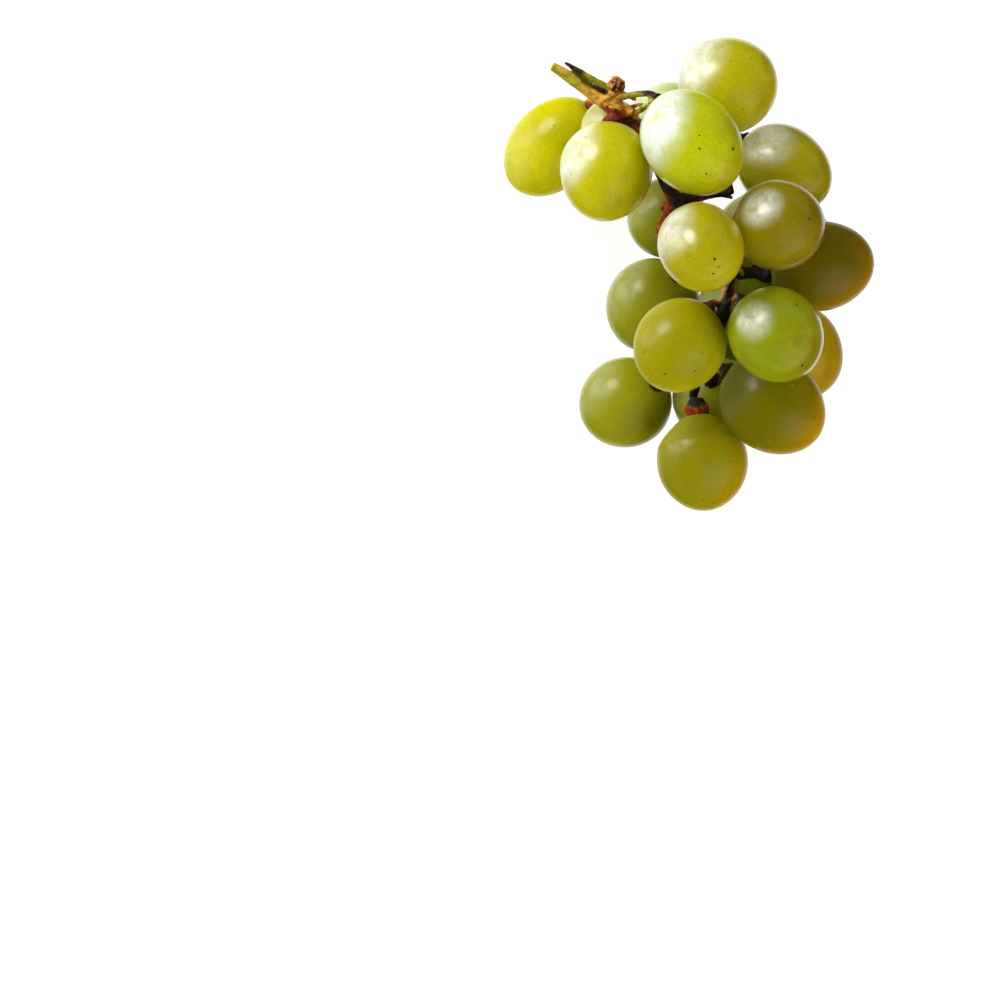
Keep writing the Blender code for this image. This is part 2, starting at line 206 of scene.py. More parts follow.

# skin: lit side; shade: painted shade on the far side, on some berries a lighter amber that paints
# light glowing through the flesh; bloom: share of the pale haze; haze, spread and wax: its side,
# spread and colour where they differ from skinLook; the haze is wax bloom with a painted highlight;
# gloss: shine against a plain berry; marks: specks seen from above as shares of the berry's half
# width, with their size in millimetres
berryLooks = {
    "left_shoulder": {
        "skin": "#D2CC04", "shade": "#A99E04", "bloom": 0.1, "gloss": 0.25, "slot": "skin_yellow",
        "haze": (-0.95, 0.1, 0.3),
    },
    "back_top": {
        "skin": "#B8C470", "shade": "#AEB83C", "bloom": 0.7, "gloss": 0.4, "slot": "skin_pale",
        "wax": "#F0F3E0",
    },
    "back_middle": {"skin": "#93940E", "shade": "#6E6C04", **deepSkin},
    "back_upper_right": {"skin": "#93900E", "shade": "#6E6404", **deepSkin},
    "back_left": {"skin": "#9A9A10", "shade": "#7A7604", **deepSkin},
    "back_lower_left": {"skin": "#9A9A10", "shade": "#7A7604", **deepSkin},
    "back_lower": {"skin": "#8E9010", "shade": "#6A6A04", **deepSkin, "bloom": 0.15},
    "back_right": {"skin": "#A08808", "shade": "#8E6C04", **amberSkin},
    "small_shoulder": {
        "skin": "#B8BE40", "shade": "#A2A618", "bloom": 0.5, "gloss": 0.5, "slot": "skin_pale",
        "wax": "#F2F4DE",
    },
    "core": {"skin": "#76860E", "shade": "#5A6404", **deepSkin, "bloom": 0.15},
    "right_shoulder": {
        "skin": "#AEA60C", "shade": "#988A04", "bloom": 0.7, "gloss": 1.3, "slot": "skin_lime",
        "haze": (-0.36, 0.62, 0.7), "spread": 0.7,
    },
    "top": {"skin": "#C2BC0C", "shade": "#A89A04", "bloom": 1.0, "slot": "skin_lime", "spread": 0.46},
    # painted shade and glow: a dark skin for the shade of the berries over it, and a lighter amber far
    # side for light coming through the flesh
    "right": {"skin": "#665A04", "shade": "#84600A", **amberSkin, "marks": [(-0.78, -0.11, 0.6)]},
    "tip": {
        "skin": "#96900A", "shade": "#947802", "bloom": 0.03, "gloss": 0.3, "slot": "skin_olive",
        "pinch": 0.14,
        "marks": [(0.02, -0.83, 0.4), (0.24, -0.90, 0.4)],
    },
    # painted glow: a dark middle and a lighter amber far side, for light coming through the flesh at the
    # edge
    "lower_right": {
        "skin": "#767202", "shade": "#9C7404", "bloom": 0.05, "gloss": 0.15, "slot": "skin_olive",
        "marks": [(0.86, -0.25, 0.4), (0.15, -0.90, 0.35)],
    },
    "left_inner": {
        "skin": "#D0CA08", "shade": "#AEA604", "bloom": 1.1, "slot": "skin_yellow",
        "haze": (-0.86, 0.4, 0.32), "spread": 0.52,
    },
    "front_right": {
        "skin": "#968806", "shade": "#7E6202", "bloom": 0.7, "gloss": 1.2, "slot": "skin_olive",
        "haze": (-0.44, 0.44, 0.78), "spread": 0.8,
        "marks": [(0.66, 0.13, 0.55)],
    },
    "front_lower_right": {
        "skin": "#A0A80C", "shade": "#86780A", "bloom": 0.7, "gloss": 1.5, "slot": "skin_green",
        "haze": (-0.5, 0.32, 0.8), "spread": 0.84,
        "marks": [(0.56, -0.66, 0.6), (0.44, 0.64, 0.5)],
    },
    "front_lower_left": {
        "skin": "#A8A208", "shade": "#8C8404", "bloom": 0.04, "gloss": 0.2, "slot": "skin_lime",
        "marks": [(-0.32, -0.62, 0.4), (0.36, -0.55, 0.4), (0.50, -0.15, 0.35), (-0.78, -0.15, 0.35)],
    },
    "front_top": {
        "skin": "#CCD20A", "shade": "#A49C04", "bloom": 1.35, "slot": "skin_lime",
        "haze": (-0.85, 0.38, 0.36), "spread": 0.36, "wax": "#EEF5EC",
        "marks": [(0.85, -0.13, 0.75), (0.15, 0.15, 0.4), (0.15, -0.13, 0.5), (0.29, -0.65, 0.45)],
    },
    "front_middle": {
        "skin": "#BCB40A", "shade": "#A49404", "bloom": 0.95, "gloss": 1.2, "slot": "skin_yellow",
        "haze": (-0.84, 0.45, 0.3), "spread": 0.55,
        "marks": [(0.31, -0.27, 0.6), (0.27, -0.62, 0.45), (0.40, -0.45, 0.4)],
    },
}


def mergedCopy(node):
    shape = bmesh.new()
    shape.from_mesh(frame["nodes"][node].data)
    bmesh.ops.remove_doubles(shape, verts=shape.verts, dist=weldDistance)
    shape.normal_update()
    return shape


def measureBerry(node):
    # middle, direction from stalk to blossom, half width and half length of a CAD berry
    shape = mergedCopy(node)
    onFloor = 1e-5
    flats = {}
    for face in shape.faces:
        if max(vert.co.z for vert in face.verts) > onFloor:
            key = tuple(round(part, 2) for part in face.normal)
            flats.setdefault(key, []).append(face)
    seat = max(flats.values(), key=len)
    rim = list(dict.fromkeys(vert for face in seat for vert in face.verts))
    centre = sum((vert.co for vert in rim), Vector()) / len(rim)
    along = -sum((face.normal for face in seat), Vector()).normalized()
    reach = []
    for vert in shape.verts:
        depth = (vert.co - centre).dot(along)
        reach.append(((vert.co - centre - along * depth).length, depth))
    halfWidth, widestDepth = max(reach)
    rimRadius = (rim[0].co - centre).length
    start = math.asin(rimRadius / halfWidth / (1 + berryForm["taper"]))
    widest = start + (math.pi - start) * berryForm["cadWidestRing"] / berryForm["cadRings"]
    halfLength = widestDepth / (math.cos(start) - math.cos(widest))
    shape.free()
    return centre + along * halfLength * math.cos(start), along, halfWidth, halfLength


def dimple(radius, depth, width):
    return depth * math.exp(-(radius / width) ** 2)


def berryOutline(halfWidth, halfLength, pinch):
    # from the stalk end to the blossom end, with closer rings at both ends
    even = berryForm["evenRings"]
    outline = []
    for ring in range(berryForm["rings"] + 1):
        share = ring / berryForm["rings"]
        angle = math.pi * (even * share + (1 - even) * (1 - math.cos(math.pi * share)) / 2)
        radius = halfWidth * math.sin(angle) * (1 + berryForm["taper"] * math.cos(angle))
        neck = (berryForm["pinchEnd"] - angle) / berryForm["pinchWidth"]
        radius *= 1 - pinch * max(0.0, min(1.0, neck))
        height = -halfLength * math.cos(angle)
        if share < 0.5:
            height += dimple(radius, berryForm["seatDimple"], berryForm["seatDimpleWidth"])
        else:
            height -= dimple(radius, berryForm["blossomDimple"], berryForm["blossomDimpleWidth"])
        outline.append((radius, height))
    return outline


def spinBerry(halfWidth, halfLength, pinch):
    shape = bmesh.new()
    outline = berryOutline(halfWidth, halfLength, pinch)
    verts = [shape.verts.new((radius, 0, height)) for radius, height in outline]
    edges = [shape.edges.new(pair) for pair in zip(verts, verts[1:])]
    bmesh.ops.spin(
        shape, geom=verts + edges, axis=upward, cent=(0, 0, 0),
        steps=berryForm["sides"], angle=math.tau, use_merge=True,
    )
    bmesh.ops.remove_doubles(shape, verts=shape.verts, dist=weldDistance)
    bmesh.ops.recalc_face_normals(shape, faces=shape.faces)
    return shape


def skinMaterial(name, centre, halfWidth, look, number):
    # fresh table grape: thin translucent skin over wet flesh, under a waxy bloom; the pale broken haze
    # on the side towards the window is that bloom with a painted highlight, the far side painted shade
    material, tree = newMaterial("grape skin " + name)
    place = addNode(tree, "TexCoord", out="Object")
    fromCentre = addNode(tree, "VectorMath", {0: place, 1: centre}, operation="SUBTRACT")
    step = Vector(skinLook["patternStep"]) * number
    pattern = addNode(tree, "VectorMath", {0: place, 1: step}, operation="ADD")
    along = addNode(tree, "Attribute", attribute_name="along", out="Fac")
    meridian = addNode(tree, "Attribute", attribute_name="meridian", out="Vector")

    # painted shade: the colour goes from the lit side round to the amber shade colour on the far side,
    # away from the window
    shadeSide = Vector(skinLook["shadeSide"]).normalized() / halfWidth
    toShade = addNode(tree, "VectorMath", {0: fromCentre, 1: shadeSide}, **dotProduct)
    start, full = skinLook["shadeRange"]
    shade = addNode(tree, "MapRange", {0: toShade, 1: start, 2: full}, **smoothstep)
    mottle = addNode(tree, "TexNoise", {
        "Vector": pattern, "Scale": 1 / skinLook["mottleSize"], "Detail": 3.0, "Roughness": 0.55,
    })
    streaks = addNode(tree, "TexNoise", {"Vector": meridian, "Scale": skinLook["streaks"], "Detail": 2.0})
    mottlePart = addNode(tree, "Math", {0: mottle, 1: 1 - skinLook["streakShare"]}, **times)
    streakPart = addNode(tree, "Math", {0: streaks, 1: skinLook["streakShare"]}, **times)
    cloud = addNode(tree, "Math", {0: mottlePart, 1: streakPart}, **plus)
    low, high = skinLook["mottleRange"]
    reach = skinLook["mottleReach"]
    wander = addNode(tree, "MapRange", {0: cloud, 1: low, 2: high, 3: -reach, 4: reach}, **smoothstep)
    shade = addNode(tree, "Math", {0: shade, 1: wander}, **plus)
    shade = addNode(tree, "MapRange", {0: shade}, **smoothstep)
    colour = addNode(tree, "Mix", {0: shade, 6: look["skin"], 7: look["shade"]}, **blend)

    # pores: small dots, few and scattered
    cells = addNode(tree, "TexVoronoi", {"Vector": pattern, "Scale": 1 / skinLook["poreGap"]})
    poreReach = skinLook["poreSize"] / skinLook["poreGap"]
    poreEdge = skinLook["poreEdge"] * poreReach
    dot = addNode(tree, "MapRange", {0: cells, 1: poreReach, 2: poreEdge, 3: 1.0, 4: 0.0}, **smoothstep)
    chances = addNode(tree, "SeparateColor", {0: cells.node.outputs["Color"]}).node.outputs
    for channel, low, high, strength, tint in skinPores:
        picked = addNode(tree, "MapRange", {0: chances[channel], 1: low, 2: high}, **smoothstep)
        pore = addNode(tree, "Math", {0: dot, 1: picked}, **times)
        pore = addNode(tree, "Math", {0: pore, 1: strength}, **times)
        colour = addNode(tree, "Mix", {0: pore, 6: colour, 7: tint}, **blend)

    for low, high, first, last, tint in skinRings:
        ring = addNode(tree, "MapRange", {0: along, 1: low, 2: high, 3: first, 4: last}, **smoothstep)
        colour = addNode(tree, "Mix", {0: ring, 6: colour, 7: tint}, **blend)

    # wax bloom and painted highlight: broken patches with a fine grain
    patches = addNode(tree, "TexNoise", {
        "Vector": pattern, "Scale": skinLook["waxPatches"] / skinLook["mottleSize"],
        "Detail": 5.0, "Roughness": 0.62,
    })
    grain = addNode(tree, "TexNoise", {
        "Vector": pattern, "Scale": 1 / skinLook["grainSize"], "Detail": 2.0, "Roughness": 0.6,
    })
    grainPart = addNode(tree, "Math", {0: grain, 1: skinLook["grainInWax"]}, **times)
    wax = addNode(tree, "Math", {0: patches, 1: grainPart}, **plus)
    low, high = skinLook["waxRange"]
    wax = addNode(tree, "MapRange", {0: wax, 1: low, 2: high}, **smoothstep)
    wax = addNode(tree, "Math", {0: wax, 1: skinLook["hazeBreaks"]}, **times)
    wax = addNode(tree, "Math", {0: wax, 1: 1 - skinLook["hazeBreaks"]}, **plus)

    # painted highlight: the haze is painted where the window light catches the berry, and not on the
    # underside
    hazeSide = Vector(look.get("haze", skinLook["haze"])).normalized() / halfWidth
    toWindow = addNode(tree, "VectorMath", {0: fromCentre, 1: hazeSide}, **dotProduct)
    spread = look.get("spread", skinLook["spread"])
    lit = addNode(tree, "MapRange", {0: toWindow, 1: spread, 2: skinLook["hazeFull"]}, **smoothstep)
    height = addNode(tree, "VectorMath", {0: fromCentre, 1: upward / halfWidth}, **dotProduct)
    low, high = skinLook["topRange"]
    onTop = addNode(tree, "MapRange", {0: height, 1: low, 2: high}, **smoothstep)
    lit = addNode(tree, "Math", {0: lit, 1: onTop}, **times)
    wax = addNode(tree, "Math", {0: wax, 1: lit}, **times)
    wax = addNode(tree, "Math", {0: wax, 1: skinLook["bloom"] * look["bloom"]}, **times)

    low, high = skinLook["grainRange"]
    fleck = addNode(tree, "MapRange", {0: grain, 1: low, 2: high, 4: skinLook["grainDark"]}, **smoothstep)
    colour = addNode(tree, "Mix", {0: fleck, 6: colour, 7: skinLook["fleck"]}, **blend)
    colour = addNode(tree, "Mix", {0: wax, 6: colour, 7: look.get("wax", skinLook["wax"])}, **blend)
    flesh = addNode(tree, "MapRange", {0: wax, 3: 1.0, 4: skinLook["fleshUnderWax"]}, **smoothstep)
    bare, waxed = skinLook["roughness"]
    roughness = addNode(tree, "MapRange", {0: wax, 3: bare, 4: waxed}, **smoothstep)

    grainHeight = addNode(tree, "Math", {0: grain, 1: skinLook["relief"]}, **times)
    poreHeight = addNode(tree, "Math", {0: dot, 1: skinLook["relief"]}, **times)
    relief = addNode(tree, "Math", {0: grainHeight, 1: poreHeight}, **plus)
    bump = addNode(tree, "Bump", {"Height": relief, "Strength": 0.5, "Distance": 1.0})
    gloss = look.get("gloss", 1.0)
    shader = addNode(tree, "BsdfPrincipled", {
        "Base Color": colour, "Roughness": roughness, "Normal": bump, "IOR": 1.38,
        "Subsurface Weight": flesh, "Subsurface Scale": skinLook["depth"],
        "Subsurface Radius": (1.0, 0.8, 0.12), "Transmission Weight": 0.2,
        "Specular IOR Level": skinLook["gloss"] * gloss, "Coat Weight": skinLook["coat"] * gloss,
        "Coat Roughness": skinLook["coatRoughness"], "Coat IOR": 1.45,
    })
    addNode(tree, "OutputMaterial", {"Surface": shader})
    return material


def buildBerry(number, node):
    name = node.replace("grape_", "")
    centre, along, halfWidth, halfLength = measureBerry(node)
    look = berryLooks[name]
    shape = spinBerry(halfWidth, halfLength, look.get("pinch", 0.0))
    alongLayer = shape.verts.layers.float.new("along")
    meridianLayer = shape.verts.layers.float_vector.new("meridian")
    step = Vector((number * berryForm["unevenStep"], 0, 0))
    shape.normal_update()
    for vert in shape.verts:
        angle = math.atan2(vert.co.y, vert.co.x)
        share = math.acos(max(-1, min(1, -vert.co.z / halfLength))) / math.pi
        vert[alongLayer] = share
        vert[meridianLayer] = (math.cos(angle), math.sin(angle), share * skinLook["streakStretch"])
        wave = noise.noise(vert.co / berryForm["unevenSize"] + step)
        vert.co += vert.normal * berryForm["uneven"] * halfWidth * wave
    turn = upward.rotation_difference(along).to_matrix()
    bmesh.ops.rotate(shape, verts=shape.verts, cent=(0, 0, 0), matrix=turn)
    bmesh.ops.translate(shape, verts=shape.verts, vec=centre)
    for vert in shape.verts:        # the side it lies on is pressed flat
        vert.co.z = max(vert.co.z, 0.0)
    berry = newObject("berry_" + name, shape, skinMaterial(name, centre, halfWidth, look, number))
    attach(berry, "root")
    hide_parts(node)
    return {"name": name, "centre": centre, "along": along, "halfWidth": halfWidth,
            "halfLength": halfLength, "object": berry}


berryNodes = sorted(node for node in frame["nodes"] if node.startswith("grape_"))
berries = {}
for number, node in enumerate(berryNodes, start=1):
    berry = buildBerry(number, node)
    berries[berry["name"]] = berry
print("berries built:", len(berries))


# specks: small corky scars on the skin

speckForm = {
    "radius": 0.0005,       # metres, for a mark one millimetre across
    "squash": (1, 0.85, 0.22),
    "corkSize": 0.0002,
    "corkRange": (0.35, 0.65),
}


def speckMaterial():
    # suberised scar: dull brown cork, nearly black in the middle
    material, tree = newMaterial("corky scar")
    place = addNode(tree, "TexCoord", out="Object")
    cork = addNode(tree, "TexNoise", {"Vector": place, "Scale": 1 / speckForm["corkSize"], "Detail": 2.0})
    low, high = speckForm["corkRange"]
    share = addNode(tree, "MapRange", {0: cork, 1: low, 2: high}, **smoothstep)
    colour = addNode(tree, "Mix", {0: share, 6: "#20160A", 7: "#54411A"}, **blend)
    shader = addNode(tree, "BsdfPrincipled", {
        "Base Color": colour, "Roughness": 0.8, "Specular IOR Level": 0.2,
    })
    addNode(tree, "OutputMaterial", {"Surface": shader})
    return material


def buildSpecks():
    shape = bmesh.new()
    for berry in berries.values():
        surface = BVHTree.FromObject(berry["object"], bpy.context.evaluated_depsgraph_get())
        for across, along, size in berryLooks[berry["name"]].get("marks", []):
            start = berry["centre"] + Vector((across, along, 0)) * berry["halfWidth"]
            start.z += 2 * berry["halfLength"]
            place, normal = surface.ray_cast(start, -upward)[:2]
            if place is None:
                continue
            turn = normal.to_track_quat("Z", "Y").to_matrix().to_4x4()
            squash = Matrix.Diagonal((*speckForm["squash"], 1))
            bmesh.ops.create_icosphere(
                shape, subdivisions=2, radius=size * speckForm["radius"],
                matrix=Matrix.Translation(place) @ turn @ squash,
            )
    specks = newObject("skin_specks", shape, speckMaterial())
    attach(specks, "root")
    print("specks built:", len(specks.data.polygons), "faces")


buildSpecks()


# stem

stemForm = {
    "voxel": 0.00018,
    "smoothRounds": 2,
    "bark": 0.00008,        # height of the bark's ridges
    "barkSize": 0.0008,
    "grooveDepth": 0.00028,
    "viewFrom": 0.1,        # height that its top is looked for from, metres
    "hiddenHeight": 0.7,    # share of its height where a place beside it looks for it
}

stemLook = {
    "blotches": 0.9,        # per millimetre
    "fibres": 2.6,          # per millimetre, across the stalk
    "fibreTurn": math.radians(-28),     # the way the cut stalk runs
    "fibreStretch": 5.0,
    "vary": 0.08,           # how far blotches and fibres shift the edge of a colour
    "blotchRelief": 0.00010,
    "fibreRelief": 0.00008,
    "plainTint": (0.7, 0.45, 0.8),      # dry, red and dark away from every stretch below
    "plainWeight": 0.02,
    "tintReach": 3,         # a stretch ends at this many times its reach
}

# rind colours over the fresh green: where each sets in and is full, then where the fibres turn
# it from its first to its second colour
rindColours = {
    "dry": (0.2, 0.8, 0.35, 0.65, "#B87614", "#F2C050"),
    "red": (0.2, 0.9, 0.40, 0.62, "#6E1404", "#CC440C"),
    "dark": (0.1, 0.9, 0.50, 0.75, "#0C0603", "#2C1408"),
}

collarForm = {
    "radius": 0.0018,       # the flared end that holds a berry
    "depth": 0.0006,
    "neckLength": 2.2,      # from the skin back to the neck's start, in depths
    "neckRadii": (0.55, 0.95),      # at its start and where it meets the flare, in radii
    "lipRadius": 0.9,
    "bite": 0.0004,         # how far the lip goes past the skin
    "warts": 13,
    "wartRadius": 0.00036,
    "wartRing": 0.92,       # how far out they sit, in radii
    "wartScatter": 0.14,
    "wartTurn": 0.3,
    "wartLift": 0.5,
    "wartGrowth": 0.5,
    "jitterStep": (3.7, 1.9, 0.5),  # from wart to wart, from berry to berry, offset
}

# wider or deeper collars than the rest, metres
collarLooks = {
    "tip": {"radius": 0.0024, "depth": 0.0013},
    "left_shoulder": {"radius": 0.0021},
    "small_shoulder": {"radius": 0.0014},
}

knobForm = {
    "place": (-0.391, 0.795),       # shares of the bunch's half width and half length
    "sink": 0.0013,         # its middle lies this far under the stem's top
    "size": (0.00145, 0.00165, 0.0014),
    "grains": 60,
    "grainRadius": 0.00034,
    "grainTurn": 2.39996,   # golden angle, which spreads them evenly
    "jitterSize": 0.2,
    "scatter": 0.1,
    "grainGrowth": 0.5,
    "reach": 0.0022,        # coloured as the knob out to here
    "grainTops": 0.00152,   # where the light tops of the grains begin
    "topsFade": 0.0003,
    "hollowTint": (0.95, 0.80, 0.85),       # dry, red and dark between the grains: painted shade in the hollows
    "topTint": (0.95, 0.38, 0.0),
}

# broken and bare bits: from, to (shares of the bunch's half width and half length, then
# height above the stem's top there, metres), radii at both ends, metres
stemBits = [
    ("torn cup", (-0.350, 0.695, 0.0004), (-0.300, 0.680, 0.0012), 0.0006, 0.0009),
    ("torn cup lip", (-0.330, 0.700, 0.0010), (-0.268, 0.718, 0.0014), 0.0006, 0.0003),
    ("split cup", (-0.420, 0.680, 0.0004), (-0.385, 0.645, 0.0008), 0.0006, 0.0009),
    ("split cup lip", (-0.372, 0.650, 0.0006), (-0.345, 0.622, 0.0006), 0.0009, 0.0004),
    ("frayed end", (-0.300, 0.712, 0.0012), (-0.240, 0.722, 0.0020), 0.00035, 0.00018),
    ("frayed tail", (-0.268, 0.715, 0.0018), (-0.252, 0.700, 0.0016), 0.0003, 0.00015),
    ("ragged stub", (0.195, 0.338, 0.0), (0.235, 0.350, 0.0010), 0.0007, 0.0003),
    ("ragged stub low", (0.205, 0.335, 0.0), (0.238, 0.322, 0.0004), 0.0006, 0.00025),
    ("black stub", (0.335, 0.020, 0.0), (0.425, -0.018, 0.0004), 0.0012, 0.0011),
    ("yellow nub", (0.290, 0.000, 0.0), (0.283, 0.016, 0.0012), 0.00035, 0.0004),
    ("dry fibre", (0.262, -0.015, 0.0006), (0.215, -0.120, 0.0012), 0.00025, 0.00012),
    ("dry fibre two", (0.270, -0.030, 0.0006), (0.248, -0.150, 0.0010), 0.00022, 0.00012),
    ("dry fibre three", (0.250, -0.010, 0.0008), (0.190, -0.085, 0.0008), 0.0002, 0.0001),
]

# where the rind changes: a stretch from one place to another in shares of the bunch's half
# width and half length, reach in metres, then how dry, red and dark it is there
stemTints = {
    "cut end": ((-0.744, 0.871), (-0.715, 0.868), 0.0009, 0.10, 0.0, 0.0),
    "cut spot": ((-0.690, 0.868), (-0.675, 0.862), 0.0007, 0.90, 0.35, 0.0),
    "fresh rind": ((-0.655, 0.846), (-0.600, 0.812), 0.0010, 0.15, 0.0, 0.0),
    "drying rind": ((-0.575, 0.795), (-0.530, 0.768), 0.0010, 0.60, 0.05, 0.0),
    "tan rind": ((-0.510, 0.755), (-0.470, 0.735), 0.0011, 0.90, 0.12, 0.0),
    "gold node": ((-0.485, 0.722), (-0.415, 0.762), 0.0007, 1.00, 0.0, 0.0),
    "gold arm": ((-0.458, 0.735), (-0.375, 0.706), 0.0006, 1.00, 0.05, 0.0),
    "ridge": ((-0.663, 0.893), (-0.560, 0.818), 0.00062, 0.50, 0.60, 0.90),
    # painted shade: near black along the crease between the main stalk and the second stalk
    "groove": ((-0.565, 0.815), (-0.430, 0.761), 0.0006, 0.40, 0.50, 1.00),
    "second stalk": ((-0.560, 0.832), (-0.431, 0.792), 0.0006, 0.00, 0.0, 0.25),
    "second stalk end": ((-0.360, 0.768), (-0.285, 0.742), 0.0007, 0.00, 0.0, 0.35),
    "knob base": ((-0.405, 0.770), (-0.372, 0.768), 0.0007, 0.60, 0.85, 0.60),
    "red arm": ((-0.361, 0.702), (-0.330, 0.690), 0.0008, 0.90, 0.70, 0.15),
    "red line": ((-0.458, 0.723), (-0.426, 0.664), 0.0004, 0.60, 0.95, 0.50),
    "red cluster": ((-0.420, 0.672), (-0.350, 0.664), 0.0011, 0.60, 0.95, 0.45),
    "dark cluster": ((-0.380, 0.640), (-0.330, 0.640), 0.0010, 0.60, 0.70, 0.90),
    "torn face": ((-0.318, 0.690), (-0.285, 0.680), 0.0006, 1.00, 0.10, 0.0),
    "torn edge": ((-0.300, 0.715), (-0.265, 0.725), 0.0006, 0.80, 0.70, 0.40),
    "frayed": ((-0.262, 0.722), (-0.215, 0.705), 0.0008, 0.05, 0.0, 0.0),
    "left collar": ((-0.540, 0.710), (-0.495, 0.690), 0.0010, 0.60, 0.95, 0.55),
    "bare axis": ((-0.328, 0.618), (-0.236, 0.482), 0.0012, 0.70, 0.80, 0.35),
    "fork": ((-0.130, 0.360), (0.010, 0.320), 0.0016, 0.60, 0.70, 0.85),
    "red band": ((-0.130, 0.330), (-0.128, 0.235), 0.0009, 0.80, 0.95, 0.30),
    "orange end": ((-0.140, 0.190), (-0.140, 0.160), 0.0009, 0.90, 0.80, 0.0),
    "lateral": ((0.061, 0.309), (0.158, 0.300), 0.0009, 0.60, 0.90, 0.50),
    "lateral stub": ((0.180, 0.325), (0.235, 0.345), 0.0011, 0.60, 0.40, 1.00),
    "black stub": ((0.280, 0.035), (0.440, -0.010), 0.0018, 0.50, 0.30, 1.00),
    "black stem": ((0.250, -0.010), (0.190, -0.200), 0.0016, 0.50, 0.40, 0.95),
    "yellow nub": ((0.288, 0.000), (0.283, 0.018), 0.0004, 0.10, 0.0, 0.0),
    "dry fibres": ((0.262, -0.030), (0.235, -0.150), 0.0004, 1.00, 0.15, 0.0),
    "brown stalk": ((0.185, -0.060), (0.150, -0.105), 0.0008, 0.95, 0.30, 0.10),
    "red end": ((0.135, -0.120), (0.105, -0.160), 0.0009, 0.60, 0.90, 0.65),
    "tip stalk": ((0.055, -0.470), (0.040, -0.545), 0.0014, 0.30, 0.20, 1.00),
    "tip collar": ((-0.020, -0.590), (0.065, -0.590), 0.0012, 0.90, 1.15, 0.0),
    "tip collar far side": ((0.100, -0.600), (0.110, -0.600), 0.0008, 0.60, 0.80, 0.95),
}

# extra arms and torn fibres over the CAD stem: same kind of stretch, height above it and radii
stemArms = [
    ("knob arm", (-0.487, 0.720, 0.0002), (-0.405, 0.772, 0.0006), 0.0007, 0.0008),
    ("gold arm", (-0.465, 0.738, 0.0004), (-0.372, 0.702, 0.0008), 0.00065, 0.0008),
    ("red arm", (-0.372, 0.702, 0.0008), (-0.330, 0.668, 0.0008), 0.0008, 0.0011),
    ("red line", (-0.458, 0.723, 0.0), (-0.426, 0.668, 0.0), 0.0003, 0.0003),
    # painted shade: a dark web under the stalks' tops fills the crease between them
    ("dark web", (-0.520, 0.796, -0.0002), (-0.435, 0.768, -0.0004), 0.0007, 0.0008),
]


def onBunch(across, along):
    # a place in shares of the bunch's half width and half length
    low, high = (Vector(corner) for corner in cadBox)
    middle, half = (low + high) / 2, (high - low) / 2
    return Vector((middle.x + across * half.x, middle.y + along * half.y, 0))


def addRod(shape, start, end, startRadius, endRadius):
    line = end - start
    turn = line.to_track_quat("Z", "Y").to_matrix().to_4x4()
    bmesh.ops.create_cone(
        shape, cap_ends=True, segments=12, radius1=startRadius, radius2=endRadius,
        depth=line.length, matrix=Matrix.Translation((start + end) / 2) @ turn,
    )


def addWart(shape, centre, radius):
    bmesh.ops.create_icosphere(shape, subdivisions=2, radius=radius, matrix=Matrix.Translation(centre))


def addCollar(shape, berry, number):
    # warty flared end of a berry's own stalk, pressed against the skin
    form = {**collarForm, **collarLooks.get(berry["name"], {})}
    radius, depth, along = form["radius"], form["depth"], berry["along"]
    neckStart, neckEnd = form["neckRadii"]
    wartStep, berryStep, offset = form["jitterStep"]
    pole = berry["centre"] - along * berry["halfLength"]
    flare = pole - along * depth
    side = along.orthogonal().normalized()
    addRod(shape, pole - along * depth * form["neckLength"], flare, radius * neckStart, radius * neckEnd)
    addRod(shape, flare, pole + along * form["bite"], radius, radius * form["lipRadius"])
    for wart in range(form["warts"]):
        jitter = noise.noise_vector(Vector((wart * wartStep, number * berryStep, offset)))
        angle = math.tau * wart / form["warts"] + jitter.x * form["wartTurn"]
        out = Matrix.Rotation(angle, 3, along) @ side * radius
        place = pole + out * (form["wartRing"] + form["wartScatter"] * jitter.y)
        place -= along * depth * (form["wartLift"] + jitter.z)
        addWart(shape, place, form["wartRadius"] * (1 + form["wartGrowth"] * jitter.z))


def addKnob(shape, middle):
    # the bare end of a lost berry's stalk: a round head covered in corky grains
    size = Vector(knobForm["size"])
    for grain in range(knobForm["grains"]):
        lift = 1 - (2 * grain + 1) / knobForm["grains"]
        turn = grain * knobForm["grainTurn"]
        spread = math.sqrt(1 - lift * lift)
        way = Vector((math.cos(turn) * spread, math.sin(turn) * spread, lift))
        jitter = noise.noise(way / knobForm["jitterSize"])
        place = middle + way * size * (1 + knobForm["scatter"] * jitter)
        addWart(shape, place, knobForm["grainRadius"] * (1 + knobForm["grainGrowth"] * jitter))


